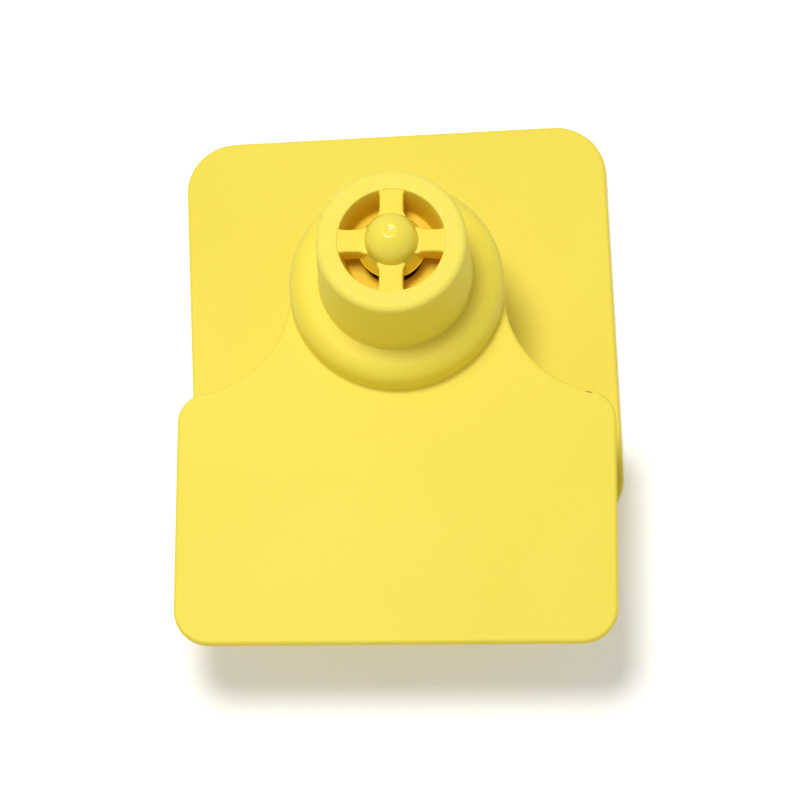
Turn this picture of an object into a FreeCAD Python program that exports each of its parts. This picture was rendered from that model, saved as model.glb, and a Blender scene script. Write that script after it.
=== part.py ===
"""Two-piece livestock ear tag, snapped together: a parametric FreeCAD document.

The male tag is a square plate with a hollow stud at its centre, and a hard pointed tip
is anchored in the stud's end.  The female tag is a T-shaped panel whose neck carries a
round flange and a tall boss.  The stud passes through the boss's floor and through a
hard ring moulded into it, and the tip's shoulder locks behind that ring.  The top of the
boss is an open bowl crossed by four spokes, which hold a hollow bell over the point.

Frame: millimetres, +Z along the pin from the male plate to the bell, +X across the
tag, -Y the way the female panel hangs.  The origin is on the pin's axis, at the male
plate's back face.
"""
import FreeCAD
import Part
import Sketcher
import math
import os

doc = FreeCAD.newDocument("ear_tag")

# ---------------------------------------------------------------- driving dimensions
DIMS = (
    # male plate
    ("tag_width", 56.0, "width of both panels"),
    ("male_height", 56.0, "height of the male plate"),
    ("plate_thick", 1.5, "thickness of the male plate"),
    ("male_corner", 6.7, "corner radius of the male plate"),
    ("male_turn", 2.6, "degrees the male plate has turned on its pin, at rest"),
    ("edge_break", 0.45, "chamfer along the panels' edges"),
    # button, hub and stud of the male
    ("button_radius", 12.0, "raised button on the ear side of the male plate"),
    ("button_rise", 1.0, "height of that button"),
    ("button_bevel", 0.6, "chamfer of the button's edge"),
    ("hub_flare", 2.8, "radius of the flare where the stud leaves the button"),
    ("stud_radius", 3.2, "outside radius of the stud"),
    ("bore_radius", 1.6, "bore for the applicator's pin"),
    # hard tip
    ("stem_radius", 1.9, "stem anchored in the stud"),
    ("stem_length", 6.2, "length of the stem with its foot"),
    ("foot_ledge", 0.8, "the foot is this much wider than the bore it closes"),
    ("foot_height", 1.6, "height of that foot"),
    ("stem_fit", 0.05, "radial clearance of the stem and its foot"),
    ("tip_barb", 1.4, "the shoulder stands out this far past the stud"),
    ("tip_land", 1.2, "straight band above the shoulder"),
    ("tip_clear", 2.7, "space between the tip's nose and the bell's crown"),
    ("tip_nose", 0.9, "radius of the tip's nose"),
    # space between the two tags
    ("ear_gap", 15.0, "gap between the two panels, where the ear sits"),
    # female panel
    ("panel_thick", 1.5, "thickness of the female panel"),
    ("female_drop", 47.2, "pin axis to the female panel's lower edge"),
    ("shoulder_drop", 14.1, "pin axis down to the shoulder line"),
    ("neck_radius", 13.6, "hollow curve from the flange out to the shoulder"),
    ("shoulder_corner", 4.0, "corner radius of the shoulders"),
    ("female_corner", 4.6, "corner radius of the lower corners"),
    # flange and boss
    ("flange_radius", 13.8, "radius of the round flange"),
    ("flange_rise", 4.7, "height of the flange above the panel"),
    ("flange_round", 2.6, "rounding of the flange's edge"),
    ("boss_radius", 9.9, "radius of the boss at the flange"),
    ("boss_rise", 18.0, "height of the boss above the panel"),
    ("rim_radius", 9.5, "radius of the boss at its rim"),
    ("rim_round", 0.8, "rounding of the rim's outer edge"),
    ("collar_radius", 8.0, "collar round the hole on the ear side"),
    ("collar_rise", 1.5, "height of that collar"),
    ("collar_bevel", 0.5, "chamfer of the collar's edge"),
    ("hole_clear", 0.4, "clearance of the stud in the collar's hole"),
    ("hole_lead", 0.8, "chamfer at that hole's mouth"),
    # bowl, bell and spokes
    ("bowl_radius", 6.8, "radius of the bowl at the rim"),
    ("bowl_floor_radius", 5.9, "radius of the bowl at its floor"),
    ("bowl_depth", 4.9, "depth of the bowl"),
    ("shelf_thick", 1.5, "thickness of the bowl's floor"),
    ("shelf_hole", 3.8, "hole in the bowl's floor, under the bell"),
    ("shelf_bevel", 0.5, "chamfer of that hole's upper edge"),
    ("bell_radius", 3.35, "radius of the bell's round top"),
    ("skirt_radius", 4.36, "radius of the bell's flared edge"),
    ("skirt_drop", 2.45, "rim down to the bell's lower edge"),
    ("bell_wall", 0.95, "wall of the bell"),
    ("dimple_radius", 0.6, "dimple at the bell's crown"),
    ("dimple_depth", 0.2, "depth of that dimple"),
    ("spoke_width", 3.0, "width of each spoke"),
    ("spoke_root", 4.1, "depth of a spoke at the bowl's wall"),
    ("spoke_lift", 0.15, "a spoke ends this far above the bell's lower edge"),
    ("spoke_inset", 0.15, "spokes lie this far below the rim"),
    # lock ring
    ("ring_radius", 7.2, "outside radius of the lock ring"),
    ("ring_height", 2.4, "height of the lock ring"),
    ("ring_clear", 0.3, "clearance of the stud in the lock ring"),
    ("ring_lead", 1.0, "tapered mouth of the lock ring"),
    ("ring_seat", 0.05, "radial clearance of the ring in its seat"),
    ("ring_cover", 0.6, "material between panel face and ring seat"),
    ("chamber_clear", 1.4, "space round the tip's shoulder, above the ring"),
    ("head_play", 0.3, "play between the tip's shoulder and the ring"),
)

dims = doc.addObject("Spreadsheet::Sheet", "dims")
for row, (alias, number, meaning) in enumerate(DIMS, start=1):
    dims.set("A%d" % row, alias)
    dims.set("B%d" % row, repr(number))
    dims.set("C%d" % row, meaning)
    dims.setAlias("B%d" % row, alias)

# ---------------------------------------------------------------- places that follow
PLACES = (
    ("half_width", "=dims.tag_width / 2"),
    ("half_height", "=dims.male_height / 2"),
    ("male_in_x", "=dims.tag_width / 2 - dims.male_corner"),
    ("male_in_y", "=dims.male_height / 2 - dims.male_corner"),
    # male, heights from its back face
    ("plate_mid", "=dims.plate_thick / 2"),
    ("button_top", "=dims.plate_thick + dims.button_rise"),
    ("button_edge", "=button_top - dims.button_bevel"),
    ("button_in", "=dims.button_radius - dims.button_bevel"),
    ("hub_radius", "=dims.stud_radius + dims.hub_flare"),
    ("hub_top", "=button_top + dims.hub_flare"),
    # female, heights from its ear-side face
    ("tip_radius", "=dims.stud_radius + dims.tip_barb"),
    ("chamber_radius", "=tip_radius + dims.chamber_clear"),
    ("ring_low", "=dims.panel_thick + dims.ring_cover"),
    ("ring_high", "=ring_low + dims.ring_height"),
    ("seat_radius", "=dims.ring_radius + dims.ring_seat"),
    ("panel_mid", "=dims.panel_thick / 2"),
    ("flange_top", "=dims.panel_thick + dims.flange_rise"),
    ("flange_edge", "=flange_top - dims.flange_round"),
    ("flange_in", "=dims.flange_radius - dims.flange_round"),
    ("disc_in", "=dims.flange_radius - dims.edge_break"),
    ("rim_top", "=dims.panel_thick + dims.boss_rise"),
    ("rim_edge", "=rim_top - dims.rim_round"),
    ("rim_in", "=dims.rim_radius - dims.rim_round"),
    ("collar_in", "=dims.collar_radius - dims.collar_bevel"),
    ("collar_edge", "=dims.collar_bevel - dims.collar_rise"),
    ("collar_low", "=-dims.collar_rise"),
    ("hole_radius", "=dims.stud_radius + dims.hole_clear"),
    ("hole_mouth", "=hole_radius + dims.hole_lead"),
    ("hole_edge", "=dims.hole_lead - dims.collar_rise"),
    ("floor_top", "=rim_top - dims.bowl_depth"),
    ("chamber_top", "=floor_top - dims.shelf_thick"),
    ("skirt_low", "=rim_top - dims.skirt_drop"),
    ("skirt_in", "=dims.skirt_radius - dims.bell_wall"),
    ("core_radius", "=min(skirt_in; dims.shelf_hole) - 0.1"),
    ("bell_in", "=dims.bell_radius - dims.bell_wall"),
    ("crown_in", "=bell_in / 2"),
    ("bell_in_top", "=rim_top + bell_in * sqrt(3) / 2"),
    ("shelf_edge", "=floor_top - dims.shelf_bevel"),
    ("shelf_mouth", "=dims.shelf_hole + dims.shelf_bevel"),
    ("dimple_edge", "=rim_top + sqrt(dims.bell_radius ^ 2 - dims.dimple_radius ^ 2)"),
    ("dimple_low", "=dimple_edge - dims.dimple_depth"),
    ("spoke_top", "=rim_top - dims.spoke_inset"),
    ("spoke_low", "=rim_top - dims.spoke_root"),
    ("spoke_neck", "=skirt_low + dims.spoke_lift"),
    ("spoke_start", "=dims.bell_radius - dims.bell_wall / 2"),
    ("spoke_stop", "=(dims.bowl_radius + dims.rim_radius) / 2"),
    # female outline: the neck's curve is tangent to the flange and to the shoulder
    ("neck_cy", "=dims.neck_radius - dims.shoulder_drop"),
    ("neck_reach", "=dims.flange_radius + dims.neck_radius"),
    ("neck_cx", "=sqrt(neck_reach ^ 2 - neck_cy ^ 2)"),
    ("neck_tx", "=neck_cx * dims.flange_radius / neck_reach"),
    ("neck_ty", "=neck_cy * dims.flange_radius / neck_reach"),
    ("corner_cx", "=dims.tag_width / 2 - dims.shoulder_corner"),
    ("corner_dx", "=min(corner_cx - neck_cx; 0)"),
    ("corner_reach", "=dims.neck_radius + dims.shoulder_corner"),
    ("corner_cy", "=neck_cy - sqrt(corner_reach ^ 2 - corner_dx ^ 2)"),
    ("joint_x", "=neck_cx + corner_dx * dims.neck_radius / corner_reach"),
    ("joint_y", "=neck_cy + (corner_cy - neck_cy) * dims.neck_radius / corner_reach"),
    ("panel_low", "=-dims.female_drop"),
    ("panel_edge", "=dims.female_corner - dims.female_drop"),
    ("panel_in", "=dims.tag_width / 2 - dims.female_corner"),
    # places of the pieces along the pin
    ("female_z", "=dims.plate_thick + dims.ear_gap"),
    ("ring_z", "=female_z + ring_low"),
    ("stud_top", "=female_z + ring_high + dims.head_play"),
    ("stem_z", "=stud_top - dims.stem_length"),
    ("foot_z", "=stem_z + dims.foot_height"),
    ("foot_radius", "=dims.bore_radius + dims.foot_ledge"),
    ("socket_radius", "=dims.stem_radius + dims.stem_fit"),
    ("foot_socket", "=foot_radius + dims.stem_fit"),
    # tip and ring, in their own frames
    ("stem_low", "=-dims.stem_length"),
    ("foot_top", "=dims.foot_height - dims.stem_length"),
    ("tip_length", "=female_z + bell_in_top - dims.tip_clear - stud_top"),
    ("nose_z", "=tip_length - dims.tip_nose"),
    ("ring_hole", "=dims.stud_radius + dims.ring_clear"),
    ("ring_mouth", "=ring_hole + dims.ring_lead"),
)

places = doc.addObject("Spreadsheet::Sheet", "places")
doc.recompute()
for row, (alias, formula) in enumerate(PLACES, start=1):
    places.set("A%d" % row, alias)
    places.set("B%d" % row, formula)
    places.setAlias("B%d" % row, alias)
doc.recompute()

DIM_NAMES = [item[0] for item in DIMS]


def value(name):
    """The number a cell holds now; a leading minus turns its sign."""
    if name.startswith("-"):
        return -value(name[1:])
    sheet = dims if name in DIM_NAMES else places
    return float(sheet.get(name))


def cell(name):
    """The expression that binds a size to its cell."""
    if name.startswith("-"):
        return "-" + cell(name[1:])
    return ("dims." if name in DIM_NAMES else "places.") + name


# ---------------------------------------------------------------- sketching helpers
def new_body(label):
    body = doc.addObject("PartDesign::Body", label)
    body.Label = label
    doc.recompute()
    return body


def new_sketch(body, role, name):
    sketch = body.newObject("Sketcher::SketchObject", name)
    plane = [f for f in body.Origin.OriginFeatures if f.Role == role][0]
    sketch.AttachmentSupport = (plane, [""])
    sketch.MapMode = "FlatFace"
    return sketch


def bind(sketch, constraint, name):
    index = sketch.addConstraint(constraint)
    sketch.setExpression("Constraints[%d]" % index, cell(name))


def draw(sketch, corners):
    """Closes a profile through the corners, every one bound to its cells.

    Each corner is (x, y) or (x, y, radius, side): the edge that leaves it is then an
    arc of that radius, with its centre to the left (+1) or right (-1) of the chord.
    """
    count = len(corners)
    points = []
    for corner in corners:
        x = value(corner[0]) if corner[0] else 0.0
        y = value(corner[1]) if corner[1] else 0.0
        points.append(FreeCAD.Vector(x, y, 0))
    ends = []
    for i, corner in enumerate(corners):
        a = points[i]
        b = points[(i + 1) % count]
        if len(corner) == 2:
            geo = sketch.addGeometry(Part.LineSegment(a, b), False)
            ends.append((geo, 1, 2))
            continue
        radius = value(corner[2])
        side = corner[3]
        chord = b - a
        half = chord.Length / 2
        rise = math.sqrt(max(radius * radius - half * half, 0.0))
        left = FreeCAD.Vector(-chord.y, chord.x, 0).normalize()
        centre = (a + b) * 0.5 + left * (side * rise)
        first, last = (a, b) if side > 0 else (b, a)
        start = math.atan2(first.y - centre.y, first.x - centre.x)
        stop = math.atan2(last.y - centre.y, last.x - centre.x)
        circle = Part.Circle(centre, FreeCAD.Vector(0, 0, 1), radius)
        geo = sketch.addGeometry(Part.ArcOfCircle(circle, start, stop), False)
        ends.append((geo, 1, 2) if side > 0 else (geo, 2, 1))
    for i in range(count):
        here = ends[i]
        following = ends[(i + 1) % count]
        joint = ("Coincident", here[0], here[2], following[0], following[1])
        sketch.addConstraint(Sketcher.Constraint(*joint))
    for i, corner in enumerate(corners):
        geo, pos = ends[i][0], ends[i][1]
        if corner[0]:
            bind(sketch, Sketcher.Constraint("DistanceX", -1, 1, geo, pos, points[i].x), corner[0])
        else:
            sketch.addConstraint(Sketcher.Constraint("PointOnObject", geo, pos, -2))
        if corner[1]:
            bind(sketch, Sketcher.Constraint("DistanceY", -1, 1, geo, pos, points[i].y), corner[1])
        else:
            sketch.addConstraint(Sketcher.Constraint("PointOnObject", geo, pos, -1))
        if len(corner) > 2:
            bind(sketch, Sketcher.Constraint("Radius", geo, value(corner[2])), corner[2])
    doc.recompute()


def pad(body, sketch, name, length, midplane=False):
    feature = body.newObject("PartDesign::Pad", name)
    feature.Profile = sketch
    feature.setExpression("Length", cell(length))
    feature.Midplane = midplane
    doc.recompute()
    return feature


def turn(body, sketch, kind, name):
    """A full revolution or groove about the pin's axis."""
    before = body.Shape.Volume if body.Tip else 0.0
    feature = body.newObject("PartDesign::" + kind, name)
    feature.Profile = sketch
    feature.ReferenceAxis = (sketch, ["V_Axis"])
    feature.Angle = 360.0
    doc.recompute()
    change = body.Shape.Volume - before
    if (change > 0) != (kind == "Revolution"):
        raise RuntimeError("%s changed the volume by %.3f" % (name, change))
    return feature


def break_edges(body, base, name, size, wanted):
    """Chamfers the edges of the base feature for which wanted(edge) holds."""
    names = []
    for i, edge in enumerate(base.Shape.Edges, start=1):
        if wanted(edge):
            names.append("Edge%d" % i)
    feature = body.newObject("PartDesign::Chamfer", name)
    feature.Base = (base, names)
    feature.setExpression("Size", cell(size))
    doc.recompute()
    return feature


def lies_flat(edge):
    box = edge.BoundBox
    return box.ZLength < 1e-6


# ---------------------------------------------------------------- male tag
male = new_body("male_tag")
plate_sketch = new_sketch(male, "XY_Plane", "plate_outline")
draw(plate_sketch, [
    ("male_in_x", "-half_height", "male_corner", 1),
    ("half_width", "-male_in_y"),
    ("half_width", "male_in_y", "male_corner", 1),
    ("male_in_x", "half_height"),
    ("-male_in_x", "half_height", "male_corner", 1),
    ("-half_width", "male_in_y"),
    ("-half_width", "-male_in_y", "male_corner", 1),
    ("-male_in_x", "-half_height"),
])
plate = pad(male, plate_sketch, "plate", "plate_thick")
break_edges(male, plate, "plate_edges", "edge_break", lies_flat)

stud_sketch = new_sketch(male, "XZ_Plane", "stud_profile")
draw(stud_sketch, [
    ("", "plate_mid"),
    ("button_radius", "plate_mid"),
    ("button_radius", "button_edge"),
    ("button_in", "button_top"),
    ("hub_radius", "button_top", "hub_flare", -1),
    ("stud_radius", "hub_top"),
    ("stud_radius", "stud_top"),
    ("", "stud_top"),
])
turn(male, stud_sketch, "Revolution", "stud")

bore_sketch = new_sketch(male, "XZ_Plane", "bore_profile")
draw(bore_sketch, [
    ("", ""),
    ("bore_radius", ""),
    ("bore_radius", "stem_z"),
    ("foot_socket", "stem_z"),
    ("foot_socket", "foot_z"),
    ("socket_radius", "foot_z"),
    ("socket_radius", "stud_top"),
    ("", "stud_top"),
])
turn(male, bore_sketch, "Groove", "bore")

# ---------------------------------------------------------------- hard tip
tip = new_body("pin_tip")
tip_sketch = new_sketch(tip, "XZ_Plane", "tip_profile")
draw(tip_sketch, [
    ("", "stem_low"),
    ("foot_radius", "stem_low"),
    ("foot_radius", "foot_top"),
    ("stem_radius", "foot_top"),
    ("stem_radius", ""),
    ("tip_radius", ""),
    ("tip_radius", "tip_land"),
    ("tip_nose", "nose_z", "tip_nose", 1),
    ("", "tip_length"),
])
turn(tip, tip_sketch, "Revolution", "tip")

# ---------------------------------------------------------------- female tag
female = new_body("female_tag")
panel_sketch = new_sketch(female, "XY_Plane", "panel_outline")
right_side = [
    ("panel_in", "panel_low", "female_corner", 1),
    ("half_width", "panel_edge"),
    ("half_width", "corner_cy", "shoulder_corner", 1),
]
left_side = [
    ("-half_width", "corner_cy"),
    ("-half_width", "panel_edge", "female_corner", 1),
    ("-panel_in", "panel_low"),
]
if value("corner_cx") > value("neck_cx"):
    # a panel wide enough for a straight shoulder between the curves
    right_side += [("corner_cx", "joint_y"), ("neck_cx", "joint_y", "neck_radius", -1)]
    left_side = [("-neck_cx", "joint_y"), ("-corner_cx", "joint_y", "shoulder_corner", 1)] + left_side
else:
    right_side += [("joint_x", "joint_y", "neck_radius", -1)]
    left_side = [("-joint_x", "joint_y", "shoulder_corner", 1)] + left_side
outline = right_side + [("neck_tx", "neck_ty"), ("-neck_tx", "neck_ty", "neck_radius", -1)] + left_side
draw(panel_sketch, outline)
panel = pad(female, panel_sketch, "panel", "panel_thick")


def on_free_edge(edge):
    middle = edge.BoundBox.Center
    straight_across_neck = abs(middle.y - value("neck_ty")) < 1e-4 and abs(middle.x) < 1e-4
    return lies_flat(edge) and not straight_across_neck


break_edges(female, panel, "panel_edges", "edge_break", on_free_edge)

boss_sketch = new_sketch(female, "XZ_Plane", "boss_profile")
draw(boss_sketch, [
    ("", "collar_low"),
    ("collar_in", "collar_low"),
    ("collar_radius", "collar_edge"),
    ("collar_radius", ""),
    ("disc_in", ""),
    ("flange_radius", "edge_break"),
    ("flange_radius", "flange_edge", "flange_round", 1),
    ("flange_in", "flange_top"),
    ("boss_radius", "flange_top"),
    ("rim_radius", "rim_edge", "rim_round", 1),
    ("rim_in", "rim_top"),
    ("bell_radius", "rim_top", "bell_radius", 1),
    ("dimple_radius", "dimple_edge"),
    ("", "dimple_low"),
])
turn(female, boss_sketch, "Revolution", "boss")

bowl_sketch = new_sketch(female, "XZ_Plane", "bowl_profile")
draw(bowl_sketch, [
    ("bell_radius", "rim_top"),
    ("skirt_radius", "skirt_low"),
    ("core_radius", "skirt_low"),
    ("core_radius", "floor_top"),
    ("bowl_floor_radius", "floor_top"),
    ("bowl_radius", "rim_top"),
])
turn(female, bowl_sketch, "Groove", "bowl")

spoke_sketch = new_sketch(female, "XZ_Plane", "spoke_profile")
draw(spoke_sketch, [
    ("spoke_start", "spoke_neck"),
    ("spoke_stop", "spoke_low"),
    ("spoke_stop", "spoke_top"),
    ("spoke_start", "spoke_top"),
])
spoke = pad(female, spoke_sketch, "spoke", "spoke_width", True)
spokes = female.newObject("PartDesign::PolarPattern", "spokes")
spokes.Originals = [spoke]
spokes.Axis = ([f for f in female.Origin.OriginFeatures if f.Role == "Z_Axis"][0], [""])
spokes.Angle = 360.0
spokes.Occurrences = 4
female.Tip = spokes
doc.recompute()

cavity_sketch = new_sketch(female, "XZ_Plane", "cavity_profile")
draw(cavity_sketch, [
    ("", "collar_low"),
    ("hole_mouth", "collar_low"),
    ("hole_radius", "hole_edge"),
    ("hole_radius", "ring_low"),
    ("seat_radius", "ring_low"),
    ("seat_radius", "ring_high"),
    ("chamber_radius", "ring_high"),
    ("chamber_radius", "chamber_top"),
    ("shelf_hole", "chamber_top"),
    ("shelf_hole", "shelf_edge"),
    ("shelf_mouth", "floor_top"),
    ("shelf_hole", "floor_top"),
    ("shelf_hole", "skirt_low"),
    ("skirt_in", "skirt_low"),
    ("bell_in", "rim_top"),
    ("crown_in", "bell_in_top"),
    ("", "bell_in_top"),
])
turn(female, cavity_sketch, "Groove", "cavity")

# ---------------------------------------------------------------- lock ring
ring = new_body("lock_ring")
ring_sketch = new_sketch(ring, "XZ_Plane", "ring_profile")
draw(ring_sketch, [
    ("ring_mouth", ""),
    ("ring_radius", ""),
    ("ring_radius", "ring_height"),
    ("ring_hole", "ring_height"),
    ("ring_hole", "ring_lead"),
])
turn(ring, ring_sketch, "Revolution", "ring")

# ---------------------------------------------------------------- places of the pieces
UP = FreeCAD.Vector(0, 0, 1)
male.Placement = FreeCAD.Placement(FreeCAD.Vector(0, 0, 0), FreeCAD.Rotation(UP, 0))
male.setExpression("Placement.Rotation.Angle", cell("male_turn") + " * 1 deg")
tip.Placement = FreeCAD.Placement(FreeCAD.Vector(0, 0, 0), FreeCAD.Rotation(UP, 0))
tip.setExpression("Placement.Base.z", cell("stud_top"))
female.setExpression("Placement.Base.z", cell("female_z"))
ring.setExpression("Placement.Base.z", cell("ring_z"))
doc.recompute()

# ---------------------------------------------------------------- checks and export
for item in doc.Objects:
    if "Invalid" in item.State or "Error" in item.State:
        raise RuntimeError("%s failed: %s" % (item.Name, item.State))
os.makedirs("parts", exist_ok=True)
for body in (male, tip, female, ring):
    shape = body.Shape
    if shape.isNull() or not shape.isValid() or len(shape.Solids) != 1:
        raise RuntimeError("%s is not one valid solid" % body.Label)
    box = shape.BoundBox
    print("%-11s volume %9.2f mm3   x %.2f..%.2f  y %.2f..%.2f  z %.2f..%.2f" % (
        body.Label, shape.Volume, box.XMin, box.XMax, box.YMin, box.YMax, box.ZMin, box.ZMax))
for body in (male, tip, female, ring):
    body.Shape.exportStep("parts/%s.step" % body.Label)
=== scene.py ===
import bmesh
import bpy
import numpy as np
from mathutils import Matrix, Vector


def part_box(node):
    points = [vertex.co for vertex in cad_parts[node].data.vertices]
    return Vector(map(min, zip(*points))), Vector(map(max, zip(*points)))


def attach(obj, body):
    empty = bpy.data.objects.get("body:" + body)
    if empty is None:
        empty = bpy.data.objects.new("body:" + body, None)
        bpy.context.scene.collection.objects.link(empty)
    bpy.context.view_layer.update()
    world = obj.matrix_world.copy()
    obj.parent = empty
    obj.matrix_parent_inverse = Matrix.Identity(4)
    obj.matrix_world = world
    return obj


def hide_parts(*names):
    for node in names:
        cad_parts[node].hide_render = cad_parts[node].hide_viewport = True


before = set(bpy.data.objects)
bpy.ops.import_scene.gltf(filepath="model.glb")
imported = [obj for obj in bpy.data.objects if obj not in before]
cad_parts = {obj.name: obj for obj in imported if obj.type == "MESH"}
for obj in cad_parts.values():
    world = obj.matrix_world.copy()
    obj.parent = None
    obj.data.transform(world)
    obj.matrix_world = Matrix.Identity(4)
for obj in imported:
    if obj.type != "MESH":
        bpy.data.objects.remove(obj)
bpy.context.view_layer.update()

# A two-piece livestock ear tag, snapped together.  Shapes are worked out in millimetres
# about the pin's axis, and heights start at the male plate's back face.
MM = 0.001

# ------------------------------------------------------------------ sizes, in millimetres
WIDE = 56.0             # width of both panels
THICK = 1.5             # thickness of both panels
SOFT_EDGE = 0.45        # rounding along the panels' edges
EDGE_STEPS = 6          # rows in each of those roundings
MALE_CORNER = 6.7       # corner radius of the male plate
TURNED = 2.6            # degrees the male has turned on its pin
STUD = 3.2              # outside radius of the male's stud
HUB = 2.8               # flare where the stud leaves the button
BUTTON = 12.0           # radius of the button on the male plate
BUTTON_TOP = 2.5        # its height
BORE = 1.6              # radius of the bore through the button and stud
FOOT_SEAT = 2.45        # radius of the pocket that holds the tip's foot
FOOT_LOW = 15.1         # the pocket's lower end
FOOT_HIGH = 16.7        # its upper end
STEM_HOLE = 1.95        # radius of the hole from there to the stud's end
STUD_PAST_TIP = 6.2     # the tip's lowest point up to the stud's end
FLANGE = 13.8           # radius of the female's round flange
FLANGE_TOP = 6.2        # its height
FLANGE_BEND = 2.6       # rounding of its upper edge
FLANGE_FOOT = 0.35      # hollow where it meets the panel
NECK = 13.6             # radius of the hollow curve from the flange to the shoulder
SHOULDER_DROP = 14.1    # pin axis to the shoulder line
SHOULDER = 4.0          # corner radius of the shoulders
FEMALE_CORNER = 4.6     # corner radius of the lower corners
FEMALE_DROP = 47.2      # pin axis to the female's lower edge
BOSS_FOOT = 9.9         # radius of the boss at its foot
BOSS_RIM = 9.5          # and at its rim
RIM = 19.5              # rim of the boss above the female's ear side
BOWL = 6.8              # radius of the bowl at the rim
BOWL_FLOOR = 5.9        # and at its floor
BOWL_LOW = 14.6         # height of that floor
CHAMBER_MOUTH = 3.8     # radius of the opening between the bowl and the chamber
CHAMBER_ROOF = 13.1     # height of the chamber's roof
CHAMBER = 6.0           # radius of the chamber for the tip
SEAT = 7.25             # radius of the lock ring's seat
SEAT_LOW = 2.1          # the seat's lower face
SEAT_HIGH = 4.5         # and its upper face
HOLE = 3.6              # radius of the hole for the stud
HOLE_END = 4.4          # and where it flares at the collar's end
COLLAR = 1.5            # collar under the female panel, round its hole
COLLAR_RADIUS = 8.0     # the collar's radius
BELL = 3.35             # radius of the bell's round top
BELL_ROOF = 21.58       # height of the hollow's roof inside the bell
BELL_MOUTH = 3.41       # radius of that hollow at the skirt's edge
DIMPLE = 0.62           # radius of the dimple in the bell's crown
DIMPLE_DEPTH = 0.2      # and its depth
SKIRT = 4.36            # radius of the bell's flared edge
SKIRT_DROP = 2.45       # rim down to that edge
SPOKE = 3.0             # width of a spoke
SPOKE_START = 2.9       # a spoke's inner end, in the bell's wall
SPOKE_END = 7.6         # its outer end, in the boss's wall
SPOKE_MIDWALL = 8.15    # the middle of that wall, where its slope ends
SPOKE_FALL = 1.8        # how far its underside falls on the way there
SPOKE_INSET = 0.15      # its top below the rim, and its foot above the skirt's edge
SPOKE_FLARE = 0.3       # how much wider each of its sides is at a wall
SPOKE_BEND = 0.28       # rounding of its long edges

FEMALE_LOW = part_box("female_tag")[0].z / MM + COLLAR
STUD_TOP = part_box("pin_tip")[0].z / MM + STUD_PAST_TIP


# ------------------------------------------------------------------ lines and profiles
def arc(centre, radius, start, stop, count):
    """Points on a circle, and their directions from its centre.

    Point = centre + radius times (cosine, sine) of an angle that runs evenly from start
    to stop, in degrees; the last point is left to the next run.
    """
    angle = np.radians(np.linspace(start, stop, count, endpoint=False))
    away = np.stack([np.cos(angle), np.sin(angle)], 1)
    return np.array(centre) + radius * away, away


def straight(start, stop, facing, count):
    """Points spread evenly from start towards stop, all facing one way."""
    share = np.linspace(0, 1, count, endpoint=False)[:, None]
    points = (1 - share) * np.array(start) + share * np.array(stop)
    return points, np.tile(np.array(facing, float), (count, 1))


def joined(runs):
    """The runs' points and directions, one after the other."""
    return [np.concatenate([run[i] for run in runs]) for i in (0, 1)]


def round_corners(corners, steps=6):
    """A profile whose corners (radius, height, bend) become arcs of that bend.

    An arc's centre is on the corner's bisector, bend / sin(half the corner) away, and its
    arm turns evenly from one side's foot to the other's.
    """
    spots = np.array([corner[:2] for corner in corners], float)
    runs = []
    for spot, before, after, corner in zip(
            spots, np.roll(spots, 1, 0), np.roll(spots, -1, 0), corners):
        bend = corner[2]
        if bend == 0:
            runs.append(spot[None])
            continue
        back, ahead = before - spot, after - spot
        back, ahead = back / np.hypot(*back), ahead / np.hypot(*ahead)
        half = np.arccos(back @ ahead) / 2
        middle = (back + ahead) / np.hypot(*(back + ahead))
        centre = spot + middle * bend / np.sin(half)
        reach, swing = bend / np.tan(half), np.pi - 2 * half
        share = np.linspace(0, 1, steps)[:, None]
        first, last = spot + back * reach - centre, spot + ahead * reach - centre
        arm = np.sin((1 - share) * swing) * first + np.sin(share * swing) * last
        runs.append(centre + arm / np.sin(swing))
    return np.concatenate(runs)


def rings(profile, bearing):
    """Circles about the pin, a row for each profile point (radius, height).

    Point = (radius cos bearing, radius sin bearing, height).
    """
    radius, height = profile[:, 0, None], profile[:, 1, None]
    return np.stack([radius * np.cos(bearing), radius * np.sin(bearing),
                     height + 0 * bearing], 2)


def turned(rows, degrees):
    """The rows turned about the pin, clockwise as seen from above."""
    swing = np.radians(degrees)
    return rows @ np.array([[np.cos(swing), np.sin(swing), 0],
                            [-np.sin(swing), np.cos(swing), 0], [0, 0, 1]])


def between(first, last, count):
    """Rows spread evenly between two rows, without those two."""
    share = np.linspace(0, 1, count + 2)[1:-1, None, None]
    return (1 - share) * first + share * last


def panel_edge(points, away):
    """Rows round a panel's edge: a quarter round, the side and a quarter round.

    Point = outline - inset times its outward direction; inset and height follow the
    quarter circle of the soft edge.
    """
    turn = np.radians(np.linspace(0, 90, EDGE_STEPS))
    inset = SOFT_EDGE * (1 - np.sin(turn))
    rise = SOFT_EDGE * (1 - np.cos(turn))
    inset = np.concatenate([inset, inset[::-1]])[:, None, None]
    height = np.concatenate([rise, THICK - rise[::-1]])[:, None, None]
    flat = points - inset * away
    return np.concatenate([flat, height + 0 * flat[..., :1]], 2)


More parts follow.
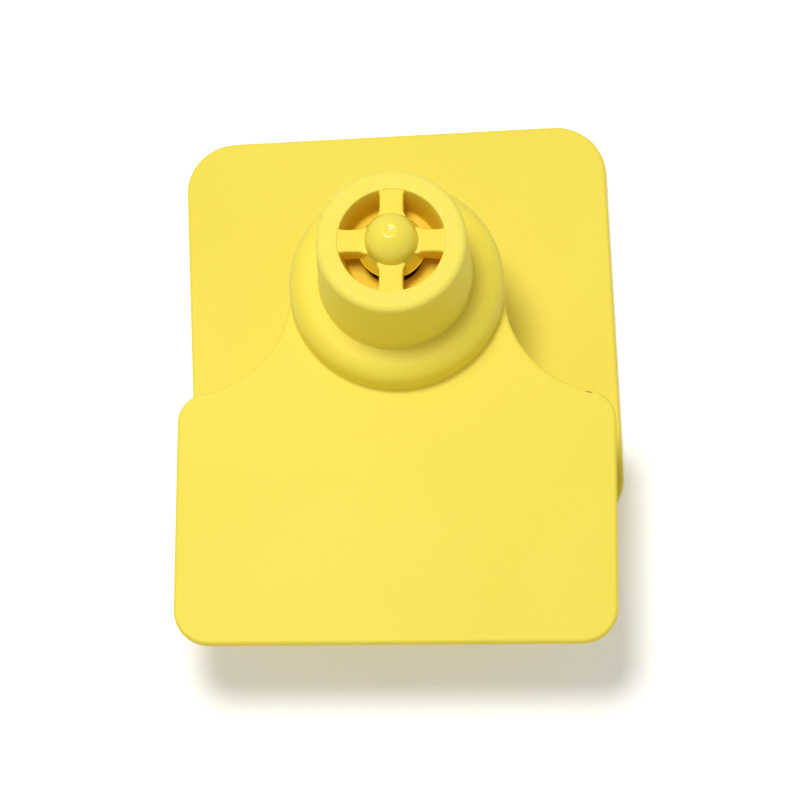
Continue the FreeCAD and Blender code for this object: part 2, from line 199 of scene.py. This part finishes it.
# ------------------------------------------------------------------ meshes
def skin(name, rows, closed_rows=True):
    """A mesh whose quads join each point of a grid to the next row and the next column.

    Columns always close on themselves; rows do where closed_rows is set.  Points that
    meet become one, and millimetres become metres.
    """
    count, columns = rows.shape[:2]
    index = np.arange(count * columns).reshape(count, columns)
    if closed_rows:
        index = np.concatenate([index, index[:1]], 0)
    index = np.concatenate([index, index[:, :1]], 1)
    quads = np.stack([index[:-1, :-1], index[:-1, 1:], index[1:, 1:], index[1:, :-1]], 2)
    mesh = bpy.data.meshes.new(name)
    mesh.from_pydata(rows.reshape(-1, 3) * MM, [], quads.reshape(-1, 4).tolist())
    work = bmesh.new()
    work.from_mesh(mesh)
    bmesh.ops.remove_doubles(work, verts=work.verts, dist=1.5e-6)
    bmesh.ops.recalc_face_normals(work, faces=work.faces)
    work.to_mesh(mesh)
    work.free()
    piece = bpy.data.objects.new(name, mesh)
    bpy.context.scene.collection.objects.link(piece)
    return piece


def melt_together(piece, others):
    """Joins overlapping closed solids into the piece's one skin."""
    group = bpy.data.collections.new("melting")
    bpy.context.scene.collection.children.link(group)
    for other in others:
        group.objects.link(other)
    union = piece.modifiers.new("union", "BOOLEAN")
    union.operand_type, union.solver, union.operation = "COLLECTION", "EXACT", "UNION"
    union.collection = group
    graph = bpy.context.evaluated_depsgraph_get()
    melted = bpy.data.meshes.new_from_object(piece.evaluated_get(graph))
    piece.modifiers.remove(union)
    piece.data = melted
    for other in others:
        bpy.data.objects.remove(other)
    bpy.data.collections.remove(group)


def shade(piece, crease=38):
    """Smooth shading that breaks at creases and leaves flat faces flat."""
    piece.data.shade_smooth()
    piece.data.set_sharp_from_angle(angle=np.radians(crease))
    even = piece.modifiers.new("even_shading", "WEIGHTED_NORMAL")
    even.keep_sharp = True


# ------------------------------------------------------------------ the male tag
def square_outline():
    """The male plate's edge: four straight sides joined by quarter circles."""
    half = WIDE / 2
    inner = half - MALE_CORNER
    return joined([
        straight((half, -inner), (half, inner), (1, 0), 30),
        arc((inner, inner), MALE_CORNER, 0, 90, 14),
        straight((inner, half), (-inner, half), (0, 1), 30),
        arc((-inner, inner), MALE_CORNER, 90, 180, 14),
        straight((-half, inner), (-half, -inner), (-1, 0), 30),
        arc((-inner, -inner), MALE_CORNER, 180, 270, 14),
        straight((-inner, -half), (inner, -half), (0, -1), 30),
        arc((inner, -inner), MALE_CORNER, 270, 360, 14)])


def male_skin():
    """Plate, button, flare and stud with the bore through them, as one closed sleeve.

    Rows run out under the plate, round its edge, in over it, up the stud and down the
    bore; columns go round the pin, each on its outline point's own bearing.
    """
    points, away = square_outline()
    edge = panel_edge(points, away)
    bearing = np.unwrap(np.arctan2(points[:, 1], points[:, 0]))
    inside = rings(round_corners([
        (BUTTON + 1, THICK, 0), (BUTTON, THICK, 0.3), (BUTTON, BUTTON_TOP, 0.5),
        (STUD, BUTTON_TOP, HUB), (STUD, STUD_TOP, 0.15), (STEM_HOLE, STUD_TOP, 0.1),
        (STEM_HOLE, FOOT_HIGH, 0), (FOOT_SEAT, FOOT_HIGH, 0), (FOOT_SEAT, FOOT_LOW, 0),
        (BORE, FOOT_LOW, 0), (BORE, 0.0, 0.12), (BUTTON, 0.0, 0)], 10), bearing)
    rows = np.concatenate([edge, between(edge[-1], inside[0], 3),
                           inside, between(inside[-1], edge[0], 3)])
    return skin("male_moulding", turned(rows, TURNED))


# ------------------------------------------------------------------ the female tag
def female_outline():
    """The female panel's edge, its outward directions and its columns' bearings.

    The left half runs from the flange's top down to the middle of the foot: the flange's
    own circle, a hollow neck that touches it, the round shoulder, the side, the round
    corner and the foot.  The right half is its mirror image.  A bearing is the point's
    own direction from the pin near the flange; from there it is spread towards the foot,
    so that the lines from the circles to the outline never leave the panel.
    """
    half = WIDE / 2
    neck_y = NECK - SHOULDER_DROP
    neck_x = np.sqrt((FLANGE + NECK) ** 2 - neck_y ** 2)
    side_x = half - SHOULDER
    side_y = neck_y - np.sqrt((NECK + SHOULDER) ** 2 - (side_x - neck_x) ** 2)
    touch = np.degrees(np.arctan2(-neck_y, neck_x))
    lean = np.degrees(np.arctan2(side_y - neck_y, neck_x - side_x))
    foot, low = half - FEMALE_CORNER, -FEMALE_DROP
    hollow = arc((-neck_x, neck_y), NECK, touch, lean, 36)
    runs = [
        arc((0, 0), FLANGE, 90, 180 + touch, 60),
        (hollow[0], -hollow[1]),
        arc((-side_x, side_y), SHOULDER, 180 + lean, 180, 10),
        straight((-half, side_y), (-half, low + FEMALE_CORNER), (-1, 0), 8),
        arc((-foot, low + FEMALE_CORNER), FEMALE_CORNER, 180, 270, 12),
        straight((-foot, low), (foot / 16, low), (0, -1), 17)]
    points, away = joined(runs)
    inner = points - SOFT_EDGE * away
    own = np.degrees(np.arctan2(inner[:, 1], inner[:, 0])) % 360
    ends = np.cumsum([len(run[0]) for run in runs])
    leave = ends[0] + 11        # eleven points into the neck
    stations = [leave, ends[1], ends[2], ends[3], ends[4], ends[5] - 1]
    number = np.arange(len(points))
    spread = np.interp(number, stations, [own[leave], 230, 233, 241, 246, 270])
    bearing = np.where(number < leave, own, spread)
    mirror = np.array([-1, 1])
    points = np.concatenate([points, (points * mirror)[-2:0:-1]])
    away = np.concatenate([away, (away * mirror)[-2:0:-1]])
    bearing = np.concatenate([bearing, 540 - bearing[-2:0:-1]])
    return points, away, np.radians(bearing)


def female_body():
    """Panel, flange, boss, bowl and the hollow inside, as one closed sleeve.

    Rows run out round the panel's edge, in over its face, up the flange and boss, down
    the bowl and through the chamber, the ring's seat and the collar back to the panel.
    Above the panel's side no row comes nearer to the pin than the flange's wall, and the
    flange's foot is a hollow quarter round as wide as the face beside it allows.
    """
    points, away, bearing = female_outline()
    edge = panel_edge(points, away)
    upper = edge[EDGE_STEPS:, :, :2]
    distance = np.hypot(upper[..., 0], upper[..., 1])[..., None]
    upper *= np.maximum(1, FLANGE / distance)
    room = np.hypot(upper[-1, :, 0], upper[-1, :, 1]) - FLANGE
    hollow = np.clip(room, 0, FLANGE_FOOT)
    turn = np.radians(np.linspace(0, 90, 5))[:, None]
    reach = FLANGE + hollow * (1 - np.sin(turn))
    foot = np.stack([reach * np.cos(bearing), reach * np.sin(bearing),
                     THICK + hollow * (1 - np.cos(turn))], 2)
    inside = rings(round_corners([
        (FLANGE, THICK * 2, 0), (FLANGE, FLANGE_TOP, FLANGE_BEND),
        (BOSS_FOOT, FLANGE_TOP, 0.3), (BOSS_RIM, RIM, 0.8), (BOWL, RIM, 0.22),
        (BOWL_FLOOR, BOWL_LOW, 0.35), (CHAMBER_MOUTH, BOWL_LOW, 0.4),
        (CHAMBER_MOUTH, CHAMBER_ROOF, 0.12), (CHAMBER, CHAMBER_ROOF, 0.3),
        (CHAMBER, SEAT_HIGH, 0.1), (SEAT, SEAT_HIGH, 0), (SEAT, SEAT_LOW, 0),
        (HOLE, SEAT_LOW, 0.1), (HOLE, 0.8 - COLLAR, 0.2), (HOLE_END, -COLLAR, 0.15),
        (COLLAR_RADIUS, -COLLAR, 0.45), (COLLAR_RADIUS, 0.0, 0.3),
        (COLLAR_RADIUS + 3, 0.0, 0)], 8), bearing)
    rows = np.concatenate([edge, between(edge[-1], foot[0], 5), foot,
                           inside, between(inside[-1], edge[0], 5)])
    rows[..., 2] += FEMALE_LOW
    return skin("female_moulding", rows)


def bell():
    """The hollow bell over the pin's point, turned about the pin.

    Outside it is a half ball, lower at the crown by the dimple's depth times
    exp(-(radius / dimple's radius)^4); below, the radius grows with the power 1.3 of the
    drop, out to the skirt's edge.
    """
    turn = np.radians(np.linspace(0, 90, 40))
    radius = BELL * np.sin(turn)
    dimple = DIMPLE_DEPTH * np.exp(-(radius / DIMPLE) ** 4)
    dome = np.stack([radius, RIM + BELL * np.cos(turn) - dimple], 1)
    drop = np.linspace(0, 1, 12)[1:-1]
    flare = np.stack([BELL + (SKIRT - BELL) * drop ** 1.3, RIM - SKIRT_DROP * drop], 1)
    low = RIM - SKIRT_DROP
    inside = round_corners([
        (SKIRT - 0.1, low + 0.5, 0), (SKIRT, low, 0.2), (BELL_MOUTH, low, 0.2),
        (2.4, RIM, 0.3), (1.2, BELL_ROOF, 0.3), (0, BELL_ROOF, 0)])[1:]
    profile = np.concatenate([dome, flare, inside])
    profile[:, 1] += FEMALE_LOW
    bearing = np.radians(np.linspace(0, 360, 96, endpoint=False))
    return skin("bell", rings(profile, bearing), closed_rows=False)


def spoke(quarter):
    """A bar from the bell's wall into the boss's, with its foot sloping up to the bell.

    Its section is a rectangle whose corners are quarter rounds; its half width is half
    the spoke plus flare times exp(-gap / flare), where gap is the distance to the nearer
    wall.  Both ends close on their middle points.
    """
    along = np.concatenate([[SPOKE_START] * 2, np.linspace(3.2, BOWL, 25), [SPOKE_END] * 2])
    gap = np.clip(np.minimum(along - BELL - 0.05, BOWL - 0.05 - along), 0, None)
    share = np.clip((along - SPOKE_START) / (SPOKE_MIDWALL - SPOKE_START), 0, 1)
    half = SPOKE / 2 + SPOKE_FLARE * np.exp(-gap / SPOKE_FLARE)
    top = RIM - SPOKE_INSET + 0 * along
    low = RIM - SKIRT_DROP + SPOKE_INSET - SPOKE_FALL * share
    turn = np.radians(np.linspace(0, 360, 28, endpoint=False) + 6.4)
    across = (np.sign(np.cos(turn)) * (half[:, None] - SPOKE_BEND)
              + SPOKE_BEND * np.cos(turn))
    height = ((top + low)[:, None] / 2 + SPOKE_BEND * np.sin(turn)
              + np.sign(np.sin(turn)) * ((top - low)[:, None] / 2 - SPOKE_BEND))
    rows = np.stack([along[:, None] + 0 * turn, across, height + FEMALE_LOW], 2)
    for end in (0, -1):
        rows[end] = rows[end].mean(0)
    return skin(f"spoke_{quarter}", turned(rows, 90 * quarter), closed_rows=False)


male = male_skin()
female = female_body()
melt_together(female, [bell()] + [spoke(quarter) for quarter in range(4)])
for piece in (male, female):
    shade(piece)
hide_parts("male_tag")
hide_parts("female_tag")
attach(male, "male")
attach(female, "female")


# ------------------------------------------------------------------ node tools
def colour(red, green, blue):
    """A linear colour from the 0 to 255 values that a screen shows."""
    share = np.array([red, green, blue]) / 255
    linear = np.where(share <= 0.04045, share / 12.92, ((share + 0.055) / 1.055) ** 2.4)
    return (*linear.tolist(), 1.0)


def add(tree, kind, inputs=(), **settings):
    """A node with its settings; each input is (socket, number, colour or other socket)."""
    made = tree.nodes.new(kind)
    for name, setting in settings.items():
        setattr(made, name, setting)
    for key, given in inputs:
        if isinstance(given, bpy.types.NodeSocket):
            tree.links.new(given, made.inputs[key])
        else:
            made.inputs[key].default_value = given
    return made


def maths(tree, operation, first, second, clamp=False):
    """The result socket of a sum on two numbers or sockets."""
    return add(tree, "ShaderNodeMath", [(0, first), (1, second)],
               operation=operation, use_clamp=clamp).outputs[0]


def blended(tree, share, first, second):
    """The colour socket that goes from first to second as share goes from 0 to 1."""
    return add(tree, "ShaderNodeMix", [(0, share), (6, first), (7, second)],
               data_type="RGBA").outputs[2]


def effect(name, inputs, outputs):
    """An empty shader node group, with its input and output nodes."""
    tree = bpy.data.node_groups.new(name, "ShaderNodeTree")
    for label, kind in inputs:
        tree.interface.new_socket(label, in_out="INPUT", socket_type=kind)
    for label, kind in outputs:
        tree.interface.new_socket(label, in_out="OUTPUT", socket_type=kind)
    return tree, tree.nodes.new("NodeGroupInput"), tree.nodes.new("NodeGroupOutput")


NUMBER, VECTOR, COLOUR = "NodeSocketFloat", "NodeSocketVector", "NodeSocketColor"


def zone_about_pin():
    """Mask of a band about the pin: 1 between two radii and two heights, soft-edged."""
    tree, given, out = effect(
        "zone_about_pin",
        [("Position", VECTOR), ("Inner Radius", NUMBER), ("Outer Radius", NUMBER),
         ("Low", NUMBER), ("High", NUMBER), ("Softness", NUMBER)], [("Mask", NUMBER)])
    parts = add(tree, "ShaderNodeSeparateXYZ", [(0, given.outputs["Position"])]).outputs
    square = maths(tree, "ADD", maths(tree, "MULTIPLY", parts[0], parts[0]),
                   maths(tree, "MULTIPLY", parts[1], parts[1]))
    radius = maths(tree, "SQRT", square, 0.0)
    mask = None
    for spot, low, high in ((radius, "Inner Radius", "Outer Radius"),
                            (parts[2], "Low", "High")):
        for one, other in ((spot, given.outputs[low]), (given.outputs[high], spot)):
            depth = maths(tree, "DIVIDE", maths(tree, "SUBTRACT", one, other),
                          given.outputs["Softness"])
            side = maths(tree, "ADD", depth, 0.5, clamp=True)
            mask = side if mask is None else maths(tree, "MULTIPLY", mask, side)
    tree.links.new(mask, out.inputs["Mask"])
    return tree


def moulded_grain():
    """Fine spark-eroded grain: its height, and a mask of rare facets where glints are
    painted as highlights.
    """
    tree, given, out = effect(
        "moulded_grain", [("Position", VECTOR), ("Grains per Metre", NUMBER),
                          ("Rarity", NUMBER)], [("Height", NUMBER), ("Glint", NUMBER)])
    where, density = given.outputs["Position"], given.outputs["Grains per Metre"]
    fine = add(tree, "ShaderNodeTexNoise", [("Vector", where), ("Scale", density),
                                            ("Detail", 3.0), ("Roughness", 0.6)])
    tree.links.new(fine.outputs[0], out.inputs["Height"])
    spots = add(tree, "ShaderNodeTexVoronoi", [("Vector", where), ("Scale", density)])
    chosen = add(tree, "ShaderNodeSeparateXYZ", [(0, spots.outputs["Color"])]).outputs[0]
    rare = maths(tree, "GREATER_THAN", chosen, given.outputs["Rarity"])
    core = maths(tree, "LESS_THAN", spots.outputs["Distance"], 0.33)
    tree.links.new(maths(tree, "MULTIPLY", rare, core), out.inputs["Glint"])
    return tree


def pigment_drift():
    """Slow uneven pigment: a colour that wanders between two, in broad soft clouds."""
    tree, given, out = effect(
        "pigment_drift", [("Position", VECTOR), ("Clouds per Metre", NUMBER),
                          ("Light", COLOUR), ("Deep", COLOUR)], [("Color", COLOUR)])
    where = given.outputs["Position"]
    broad = add(tree, "ShaderNodeTexNoise", [("Vector", where), ("Detail", 2.0),
                                             ("Scale", given.outputs["Clouds per Metre"])])
    share = add(tree, "ShaderNodeMapRange", [(0, broad.outputs[0]), (1, 0.3), (2, 0.7)])
    tree.links.new(blended(tree, share.outputs[0], given.outputs["Light"],
                           given.outputs["Deep"]), out.inputs["Color"])
    return tree


ZONE, GRAIN, DRIFT = zone_about_pin(), moulded_grain(), pigment_drift()


def place(tree, group, inputs):
    """A node group placed in a material, with its own values."""
    return add(tree, "ShaderNodeGroup", inputs.items(), node_tree=group)


def zone(tree, where, inner, outer, low, high, softness):
    """The mask between two radii and two heights over the boss's rim, in millimetres."""
    rim = FEMALE_LOW + RIM
    return place(tree, ZONE, {
        "Position": where, "Inner Radius": inner * MM, "Outer Radius": outer * MM,
        "Low": (rim + low) * MM, "High": (rim + high) * MM,
        "Softness": softness * MM}).outputs[0]


def seen(tree):
    """1 for rays from the camera, in reflections or through a clear piece, otherwise 0."""
    path = tree.nodes.new("ShaderNodeLightPath").outputs
    return maths(tree, "MAXIMUM", path["Is Camera Ray"],
                 maths(tree, "MAXIMUM", path["Is Glossy Ray"], path["Is Transmission Ray"]))


def new_material(name, **sockets):
    """A material with its shader's plain values, its tree and its object coordinates."""
    made = bpy.data.materials.new(name)
    made.use_nodes = True
    tree = made.node_tree
    shader = tree.nodes["Principled BSDF"]
    for key, given in sockets.items():
        shader.inputs[key.replace("_", " ")].default_value = given
    where = tree.nodes.new("ShaderNodeTexCoord").outputs["Object"]
    return made, tree, shader, where


def bumped(tree, shader, height, distance, strength):
    """Feeds a height to the shader's normal through a Bump node."""
    bump = add(tree, "ShaderNodeBump", [("Height", height), ("Distance", distance),
                                        ("Strength", strength)])
    tree.links.new(bump.outputs[0], shader.inputs["Normal"])


def yellow_moulding():
    """Matte yellow urethane: clouded pigment, painted bounce light and shade that turn the
    deep bowl deeper orange, a grainy rim painted paler as painted sheen with painted
    glints, and a smoother, glossier bell."""
    made, tree, shader, where = new_material(
        "yellow_moulding", IOR=1.5, Specular_IOR_Level=0.35, Subsurface_Weight=0.12,
        Subsurface_Radius=(1.0, 0.6, 0.08), Subsurface_Scale=0.0012)
    body = place(tree, DRIFT, {"Position": where, "Clouds per Metre": 28.0,
                               "Light": colour(245, 225, 78), "Deep": colour(241, 220, 68)})
    # mask of the deep bowl, where bounce light and shade are painted into the colour
    bowl = zone(tree, where, 0.0, 7.2, -6.0, -0.8, 2.2)
    rim = zone(tree, where, 6.75, 9.9, -1.1, 1.0, 0.4)
    bell_top = zone(tree, where, -1.0, 3.45, -0.5, 5.0, 0.8)
    grain = place(tree, GRAIN, {"Position": where, "Grains per Metre": 5200.0,
                                "Rarity": 0.972})
    # painted bounce light and shade: inside the bowl the body colour turns a deeper, more
    # saturated orange
    bowl_painted_bounce = blended(tree, maths(tree, "MULTIPLY", bowl, 0.75),
                    body.outputs[0], colour(246, 200, 14))
    # painted highlight: rare grain facets on the rim, where the colour below is painted
    # near-white
    glint = maths(tree, "MULTIPLY", grain.outputs["Glint"], rim)
    # painted sheen: the grainy rim's top is painted paler, half way towards a pale
    # cream-yellow
    pale = blended(tree, maths(tree, "MULTIPLY", rim, 0.5), bowl_painted_bounce,
                   colour(247, 230, 100))
    # painted highlight: where the glint mask falls, the colour is painted near-white
    tree.links.new(blended(tree, glint, pale, colour(255, 252, 226)),
                   shader.inputs["Base Color"])
    rough = maths(tree, "SUBTRACT", 0.56, maths(tree, "MULTIPLY", bell_top, 0.34))
    tree.links.new(rough, shader.inputs["Roughness"])
    ease = maths(tree, "ADD", 0.16, maths(tree, "MULTIPLY", rim, 0.84))
    calm = maths(tree, "SUBTRACT", 1.0, bell_top)
    height = maths(tree, "MULTIPLY", grain.outputs["Height"],
                   maths(tree, "MULTIPLY", ease, calm))
    bumped(tree, shader, height, 0.00012, 0.55)
    return made


def turned_brass():
    """Turned brass: fine tool rings round the pin's axis and a slightly tarnished tone."""
    made, tree, shader, where = new_material("turned_brass", Metallic=1.0)
    tone = place(tree, DRIFT, {"Position": where, "Clouds per Metre": 400.0,
                               "Light": colour(214, 176, 96), "Deep": colour(180, 138, 66)})
    tree.links.new(tone.outputs[0], shader.inputs["Base Color"])
    rings_cut = add(tree, "ShaderNodeTexWave", [("Vector", where), ("Scale", 1400.0),
                                                ("Distortion", 0.4)],
                    wave_type="BANDS", bands_direction="Z")
    rough = maths(tree, "ADD", 0.22, maths(tree, "MULTIPLY", rings_cut.outputs[1], 0.14))
    tree.links.new(rough, shader.inputs["Roughness"])
    bumped(tree, shader, rings_cut.outputs[1], 0.00003, 0.4)
    return made


def ivory_ring():
    """Hard ivory plastic with a faint drift and a fine moulded grain."""
    made, tree, shader, where = new_material("ivory_ring", IOR=1.5)
    tone = place(tree, DRIFT, {
        "Position": where, "Clouds per Metre": 160.0,
        "Light": colour(238, 232, 214), "Deep": colour(226, 218, 196)})
    tree.links.new(tone.outputs[0], shader.inputs["Base Color"])
    grain = place(tree, GRAIN, {"Position": where, "Grains per Metre": 3000.0,
                                "Rarity": 0.99})
    rough = maths(tree, "ADD", 0.2, maths(tree, "MULTIPLY", grain.outputs["Height"], 0.12))
    tree.links.new(rough, shader.inputs["Roughness"])
    bumped(tree, shader, grain.outputs["Height"], 0.00003, 0.3)
    return made


def pale_floor():
    """White paper: a faint fibre tone, lifted to white for the camera and reflections."""
    made, tree, shader, where = new_material("pale_floor", Roughness=0.8,
                                             Specular_IOR_Level=0.1)
    tone = place(tree, DRIFT, {
        "Position": where, "Clouds per Metre": 6.0,
        "Light": colour(252, 252, 252), "Deep": colour(250, 250, 249)})
    tree.links.new(tone.outputs[0], shader.inputs["Base Color"])
    glow = blended(tree, seen(tree), (0.0, 0.0, 0.0, 1.0), (0.2, 0.2, 0.2, 1.0))
    tree.links.new(glow, shader.inputs["Emission Color"])
    shader.inputs["Emission Strength"].default_value = 1.0
    return made


yellow = yellow_moulding()
for piece in (male, female):
    piece.data.materials.clear()
    piece.data.materials.append(yellow)
for node in ("male_tag", "female_tag"):
    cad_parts[node].material_slots[0].material = yellow
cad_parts["pin_tip"].material_slots[0].material = turned_brass()
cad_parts["lock_ring"].material_slots[0].material = ivory_ring()


# ------------------------------------------------------------------ light, floor, camera
EYE = (0.024749, -0.198557, 0.561675)   # where the camera stands, in metres
LENS = 202.5                            # its focal length, in millimetres
EYE_HEIGHT, EYE_SWING, EYE_ROLL = 71.2, 7.55, 7.66      # its angles, in degrees
FILL, WHITE = 0.38, 1.0                 # the surroundings as they light and as they look


def area_light(name, spot, aim, size, power, tint):
    """A round soft light that faces a point."""
    data = bpy.data.lights.new(name, "AREA")
    data.shape, data.size, data.energy, data.color = "DISK", size, power, tint
    lamp = bpy.data.objects.new(name, data)
    lamp.location = spot
    lamp.rotation_euler = (Vector(aim) - Vector(spot)).to_track_quat("-Z", "Y").to_euler()
    bpy.context.scene.collection.objects.link(lamp)


def camera():
    """The view: high above the floor, a little from the right, rolled to the left."""
    height, swing, roll = np.radians([EYE_HEIGHT, EYE_SWING, EYE_ROLL])
    back = np.array([np.sin(swing) * np.cos(height), -np.cos(swing) * np.cos(height),
                     np.sin(height)])
    right = np.array([np.cos(swing), np.sin(swing), 0])
    up = np.cross(back, right)
    across = np.cos(roll) * right - np.sin(roll) * up
    upward = np.sin(roll) * right + np.cos(roll) * up
    data = bpy.data.cameras.new("camera")
    data.lens, data.clip_start, data.clip_end = LENS, 0.01, 20
    eye = bpy.data.objects.new("camera", data)
    turn = Matrix(np.stack([across, upward, back], 1).tolist())
    eye.matrix_world = Matrix.Translation(EYE) @ turn.to_4x4()
    bpy.context.scene.collection.objects.link(eye)
    bpy.context.scene.camera = eye


def surroundings():
    """White all round: full strength where it is seen, weaker where it only lights."""
    world = bpy.data.worlds.new("studio")
    bpy.context.scene.world = world
    world.use_nodes = True
    tree = world.node_tree
    backdrop = tree.nodes["Background"]
    lift = maths(tree, "MULTIPLY", seen(tree), WHITE - FILL)
    tree.links.new(maths(tree, "ADD", FILL, lift), backdrop.inputs["Strength"])
    backdrop.inputs["Color"].default_value = (1, 1, 1, 1)


def white_floor():
    """A flat floor, four metres across, under the tag."""
    mesh = bpy.data.meshes.new("floor")
    mesh.from_pydata([(-2, -2, 0), (2, -2, 0), (2, 2, 0), (-2, 2, 0)], [], [(0, 1, 2, 3)])
    mesh.materials.append(pale_floor())
    floor = bpy.data.objects.new("floor", mesh)
    bpy.context.scene.collection.objects.link(floor)
    return floor


camera()
area_light("overhead_softbox", (-0.08, 0.06, 0.62), (0, -0.01, 0.015), 0.20, 2.5, (1, 1, 1))
surroundings()
floor = white_floor()

bpy.context.scene.view_settings.view_transform = "Standard"
